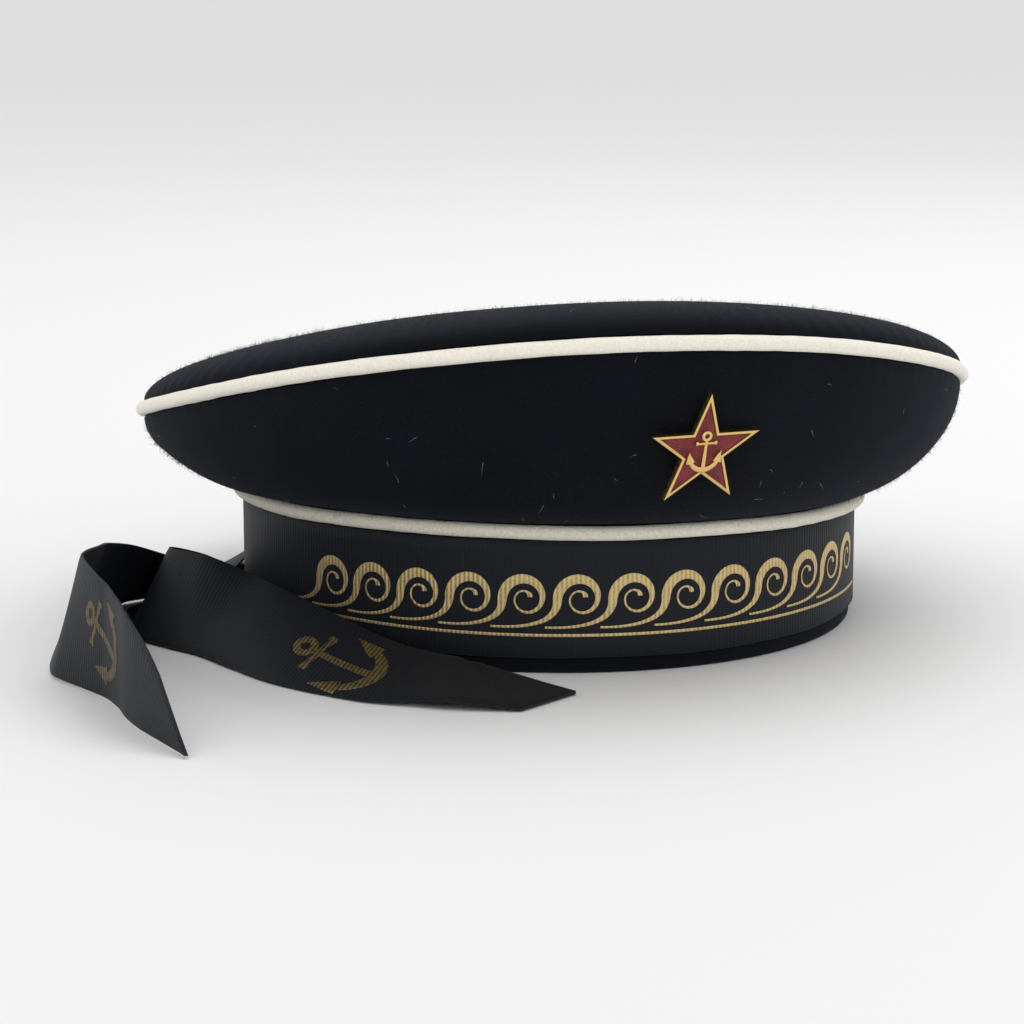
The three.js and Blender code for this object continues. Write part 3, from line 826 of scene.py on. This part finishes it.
def waveStrokes():
    # running wave: a Bezier sweep up to the crest, then a spiral r = out - shrink q round the eye,
    # with a line below them all
    t = np.linspace(0, 1, 40)[:, None]
    p = scroll["sweep"]
    crest = (1 - t)**3 * p[0] + 3 * (1 - t)**2 * t * p[1] + 3 * (1 - t) * t**2 * p[2] + t**3 * p[3]
    q = np.linspace(0, 1, 90)[1:, None]
    a = np.pi - q * np.radians(scroll["spiralTurn"])
    reach = scroll["spiralOut"] - scroll["spiralShrink"] * q
    path = np.concatenate([crest, scroll["eye"] + reach * np.concatenate([np.cos(a), np.sin(a)], 1)])
    s = np.linspace(0, 1, len(path))
    belly = scroll["belly"] * np.exp(-((s - scroll["bellyAt"]) / scroll["bellySpread"])**2)
    bead = scroll["bead"] * np.exp(-((s - scroll["beadAt"]) / scroll["beadSpread"])**2)
    starts = scroll["from"] + scroll["pitch"] * np.arange(scroll["count"])
    strokes = [(path + [x, scroll["baseline"]], scroll["thin"] + belly + bead) for x in starts]
    first, last = starts[0] - scroll["lineBefore"], starts[-1] + scroll["pitch"] + scroll["lineAfter"]
    lineAt = scroll["baseline"] - scroll["lineDrop"]
    strokes.append((line(first, lineAt, last, lineAt, 300), scroll["lineWidth"]))
    return strokes


def onRibbon(a, c, lift):
    # (mm round the ribbon from the front, height, lift) to a point on the ribbon's face
    turn = np.interp(a, denseLength, denseTurn)
    return roundBand(turn, cap["gap"] + ribbon["wall"] + lift, c), a, c


foilPrint = {"lift": 0.02, "anchorHeight": 0.1}


def tailAnchor(name, tail):
    strokes = anchorStrokes(tail["print"]["size"])
    return strokePiece(name, strokes, onTail(tail), foilPrint["lift"], foilPrint["anchorHeight"])


waveScroll = strokePiece("foilWaveScroll", waveStrokes(), onRibbon, foilPrint["lift"], scroll["height"])
paint(waveScroll, foil, "gilt_brass")
nearPrint = tailAnchor("foilAnchorNear", nearTail)
farPrint = tailAnchor("foilAnchorFar", farTail)
paint(nearPrint, wornFoil, "gilt_brass")
# the far anchor takes the foil darkened as painted shade
paint(farPrint, shadedFarFoil, "gilt_brass")
print("foil made")

# Star badge

badge = {
    "radius": 16.8, "notch": 0.382, "thick": 2.0, "rim": 0.9, "recess": 0.8, "stand": 1.6,
    "turn": -5.1, "share": 0.612, "lift": 5.3, "sharp": 35,
    "anchor": 11.5, "anchorHeight": 0.7, "anchorLift": 0.05, "anchorSharp": 40,
    "glassLift": 0.05,       # enamel over the floor of the recess
    "glassEdge": 0.25,       # how far its edge lies under the star's face
    "glassDome": 0.35,       # and its middle's height over that edge
    "glassSteps": 14,
}


def clothLean():
    # how far the cloth leans out under the badge, in radians, from the slope of the bowl
    turn, share, step = np.array([badge["turn"]]), np.array([badge["share"]]), 1e-3
    along = crownSideAt(turn + step, share) - crownSideAt(turn - step, share)
    across = crownSideAt(turn, share + step) - crownSideAt(turn, share)
    n = np.cross(along, across)[0]
    return math.asin(-n[2] / np.linalg.norm(n))


lean = clothLean() - math.radians(badge["lift"])
badgeOut = np.array([0, -math.cos(lean), -math.sin(lean)])
badgeUp = np.array([0, -math.sin(lean), math.cos(lean)])
badgeFoot = crownSideAt(np.array([badge["turn"]]), np.array([badge["share"]]))[0]
badgeSeat = badgeFoot + badgeOut * badge["stand"]


def onBadge(x, y, z):
    # flat badge coordinates in mm to the front of the crown
    across = x[..., None] * np.array([1.0, 0, 0])
    return badgeSeat + across + y[..., None] * badgeUp + z[..., None] * badgeOut


def starRings(rings, perEdge=8):
    # star outline scaled by each ring's share, at each ring's height
    k = np.arange(11)
    reach = np.where(k % 2 == 1, badge["radius"] * badge["notch"], badge["radius"])
    a = np.radians(90 + 36 * k)
    corner = np.stack([reach * np.cos(a), reach * np.sin(a)], 1)
    f = (np.arange(perEdge) / perEdge)[None, :, None]
    outline = (corner[:-1, None] + (corner[1:] - corner[:-1])[:, None] * f).reshape(-1, 2)
    rings = np.asarray(rings, float)
    flat = outline[None] * rings[:, :1, None]
    height = rings[:, 1:2] + 0 * outline[None, :, 0]
    return flat, height


def starPiece(name, rings, sharp):
    flat, height = starRings(rings)
    points = onBadge(flat[..., 0], flat[..., 1], height)
    cut = np.concatenate([flat, flat[:, :1]], 1)
    return gridObject(name, points, False, True, cut, sharp=sharp)


# rings of the star and its glass: share of the outline and height in mm, from the back to the face
recessShare = 1 - badge["rim"] / (badge["radius"] * math.sin(math.radians(18)))
starFace, recessFloor = badge["thick"], badge["thick"] - badge["recess"]
bodyRings = [
    [0, 0],
    [1, 0],
    [1, starFace - 0.35],
    [0.985, starFace - 0.1],
    [0.955, starFace],
    [recessShare + 0.04, starFace],
    [recessShare + 0.02, starFace - 0.08],
    [recessShare + 0.02, recessFloor],
    [0, recessFloor],
]
paint(starPiece("starBody", bodyRings, badge["sharp"]), gilt, "gilt_brass", "badge_star")
glassBack, glassEdge = recessFloor + badge["glassLift"], starFace - badge["glassEdge"]
glassRings = [[0, glassBack], [recessShare, glassBack]]
for g in np.linspace(1, 0, badge["glassSteps"]):
    glassRings.append([recessShare * g, glassEdge + badge["glassDome"] * (1 - g**2)])
paint(starPiece("starEnamel", glassRings, None), enamel, "red_enamel", "badge_enamel")


def onStarFace(a, c, lift):
    # anchor drawn with its ring up: x across, y against the length
    return onBadge(c, -a, starFace + badge["anchorLift"] + lift), a, c


starAnchor = strokePiece("starAnchor", anchorStrokes(badge["anchor"]), onStarFace, 0.0,
                         badge["anchorHeight"], badge["anchorSharp"])
paint(starAnchor, gilt, "gilt_brass", "badge_anchor")
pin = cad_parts["badge_pin"]
pin.data.materials.clear()
pin.data.materials.append(gilt)
print("badge made")

# Fibres: wool nap at the outlines and stray lint

# out is how much a fibre stands off the cloth, seat how high its root lies over the cloth in mm
nap = {"count": 18000, "out": 0.9, "seat": -0.2, "shortest": 0.6, "longest": 1.9,
       "thick": 0.12, "steps": 2}
lint = {"count": 150, "out": 0.15, "seat": 0.25, "shortest": 1.0, "longest": 3.2,
        "thick": 0.14, "steps": 6}
fibre = {
    "spread": 0.6,           # scatter of the directions
    "curl": 0.35,            # scatter of the bends
    "droop": 0.1,
    "leastOut": 0.02,
    "taper": 0.85,
    "insideHeight": 62.0,    # a point inside the crown, to tell inward from outward
    "domeShares": (0.02, 0.97),
    "bowlShares": (0.03, 0.97),
    "aside": (0.31, 0.52, 0.79),  # any direction that no fibre is likely to follow
}


def fibrePiece(name, roots, ways, bends, lengths, thick, steps):
    # root + length (s way + s^2 bend), three-sided, thinner towards its end
    s = np.linspace(0, 1, steps + 1)
    course = ways[:, None] * s[None, :, None] + bends[:, None] * (s**2)[None, :, None]
    middle = roots[:, None] + lengths[:, None, None] * course
    sideA = np.cross(ways, fibre["aside"])
    sideA /= np.linalg.norm(sideA, axis=1, keepdims=True)
    sideB = np.cross(ways, sideA)
    a = np.radians([0, 120, 240])
    ring = sideA[:, None] * np.cos(a)[None, :, None] + sideB[:, None] * np.sin(a)[None, :, None]
    taper = thick / 2 * (1 - fibre["taper"] * s)
    points = middle[:, :, None] + ring[:, None] * taper[None, :, None, None]
    one = gridFaces(steps + 1, 3, False, True)
    count = (steps + 1) * 3
    faces = (one[None] + (np.arange(len(roots)) * count)[:, None, None]).reshape(-1, 4)
    ends = np.array([[2, 1, 0], [count - 3, count - 2, count - 1]])
    ends = (ends[None] + (np.arange(len(roots)) * count)[:, None, None]).reshape(-1, 3)
    return meshObject(name, points.reshape(-1, 3), list(faces) + list(ends))


def onCrown(count, onDome):
    # random points of the dome or the bowl with their outward directions
    turn = rng.uniform(0, 360, count)
    share = rng.uniform(*fibre["domeShares" if onDome else "bowlShares"], count)
    share = np.sqrt(share) if onDome else share
    surface = crownTopAt if onDome else crownSideAt
    step = 1e-3
    along = surface(turn + step, share) - surface(turn - step, share)
    across = surface(turn, share + step) - surface(turn, share - step)
    n = np.cross(along, across)
    n /= np.linalg.norm(n, axis=1, keepdims=True)
    away = surface(turn, share) - np.array([cap["rimShift"], centreY, fibre["insideHeight"]])
    return surface(turn, share), n * np.sign(np.sum(n * away, 1, keepdims=True))


def strew(name, kind, material):
    # half of the fibres on the dome, half on the bowl, none pointing into the cloth
    count, out = kind["count"], kind["out"]
    domeCount = count // 2
    parts = [onCrown(domeCount, True), onCrown(count - domeCount, False)]
    roots = np.concatenate([p[0] for p in parts])
    normals = np.concatenate([p[1] for p in parts])
    ways = normals * out + rng.normal(0, fibre["spread"], (count, 3))
    ways /= np.linalg.norm(ways, axis=1, keepdims=True)
    ways -= normals * np.minimum(np.sum(ways * normals, 1, keepdims=True) - fibre["leastOut"], 0)
    bends = rng.normal(0, fibre["curl"], (count, 3))
    bends -= normals * (np.sum(bends * normals, 1, keepdims=True) + fibre["droop"] * out)
    lengths = rng.uniform(kind["shortest"], kind["longest"], count)
    roots = roots + normals * kind["seat"]
    obj = fibrePiece(name, roots, ways, bends, lengths, kind["thick"], kind["steps"])
    obj.data.shade_smooth()
    paint(obj, material, "navy_wool")


strew("woolNap", nap, plainMaterial("loose wool fibre", 0.9, "#14171f"))
strew("strayLint", lint, plainMaterial("pale lint", 0.9, "#8e9098"))
print("fibres made")

# Table, light and camera

studio = {
    "floor": "#efefef",
    "world": 0.88,
    "aim": (0, 0.1, 0.05),
    "key": {"power": 8.0, "at": (0.75, 0.45, 1.5), "size": 1.3},
    "fill": {"power": 3.0, "at": (-1.2, -1.3, 1.3), "size": 1.8},
}
# the backdrop in metres; its shares are those of the rows on the flat and in the bend
backdrop = {"rows": 60, "cols": 5, "halfWidth": 6.0, "front": -4.0, "flatEnd": 5.0, "radius": 3.0,
            "wall": 4.0, "flatShare": 0.6, "bendShare": 0.3, "under": 0.0001}


def sweepBackdrop():
    # floor that turns up behind in a quarter circle and then stands upright: (x, y(s), z(s))
    s = np.linspace(0, 1, backdrop["rows"])
    x = np.linspace(-backdrop["halfWidth"], backdrop["halfWidth"], backdrop["cols"])
    flatShare, bendEnd = backdrop["flatShare"], backdrop["flatShare"] + backdrop["bendShare"]
    bend = np.pi / 2 * np.clip((s - flatShare) / backdrop["bendShare"], 0, 1)
    flat = backdrop["front"] + (backdrop["flatEnd"] - backdrop["front"]) * s / flatShare
    y = np.where(s < flatShare, flat, backdrop["flatEnd"] + backdrop["radius"] * np.sin(bend))
    upright = backdrop["wall"] * np.clip((s - bendEnd) / (1 - bendEnd), 0, 1)
    z = backdrop["radius"] * (1 - np.cos(bend)) + upright
    grid = np.stack(np.broadcast_arrays(x[None, :], y[:, None], z[:, None] - backdrop["under"]), -1) / mm
    faces = gridFaces(backdrop["rows"], backdrop["cols"], False, False)
    obj = meshObject("sweepBackdrop", grid.reshape(-1, 3), faces)
    obj.data.shade_smooth()
    return obj


floor = sweepBackdrop()
floor.data.materials.append(plainMaterial("pale paper sweep", 0.7, studio["floor"]))


def softLight(name, power, at, size):
    # square panel at a place, turned to the middle of the cap
    lamp = bpy.data.lights.new(name, "AREA")
    lamp.energy = power
    lamp.size = size
    obj = bpy.data.objects.new(name, lamp)
    bpy.context.scene.collection.objects.link(obj)
    obj.location = at
    back = np.array(at) - np.array(studio["aim"])
    back = back / np.linalg.norm(back)
    right = np.cross([0, 0, 1], back)
    right /= np.linalg.norm(right)
    obj.rotation_euler = asMatrix(right, np.cross(back, right), back).to_euler()


def asMatrix(right, up, back):
    # the three directions as the columns of a rotation
    return Matrix([[right[i], up[i], back[i]] for i in range(3)])


softLight("keyPanel", **studio["key"])
softLight("fillPanel", **studio["fill"])
world = bpy.data.worlds.new("paleRoom")
world.use_nodes = True
world.node_tree.nodes["Background"].inputs[0].default_value = (1, 1, 1, 1)
world.node_tree.nodes["Background"].inputs[1].default_value = studio["world"]
bpy.context.scene.world = world
bpy.context.scene.view_settings.view_transform = "Standard"

view = {"at": (-0.36606, -0.72619, 0.19461), "heading": -23.355, "pitch": 10.533, "roll": -0.135,
        "lens": 105.5, "sensor": 36}


def placeCamera():
    # back = (sin h cos p, -cos h cos p, sin p), right = (cos h, sin h, 0), then rolled about back
    h, p, r = (math.radians(view[k]) for k in ("heading", "pitch", "roll"))
    back = np.array([math.sin(h) * math.cos(p), -math.cos(h) * math.cos(p), math.sin(p)])
    right = np.array([math.cos(h), math.sin(h), 0])
    up = np.cross(back, right)
    right, up = math.cos(r) * right + math.sin(r) * up, -math.sin(r) * right + math.cos(r) * up
    camera = bpy.data.cameras.new("photoCamera")
    camera.lens = view["lens"]
    camera.sensor_width = view["sensor"]
    obj = bpy.data.objects.new("photoCamera", camera)
    bpy.context.scene.collection.objects.link(obj)
    obj.location = view["at"]
    obj.rotation_euler = asMatrix(right, up, back).to_euler()
    bpy.context.scene.camera = obj


placeCamera()
print("studio made")
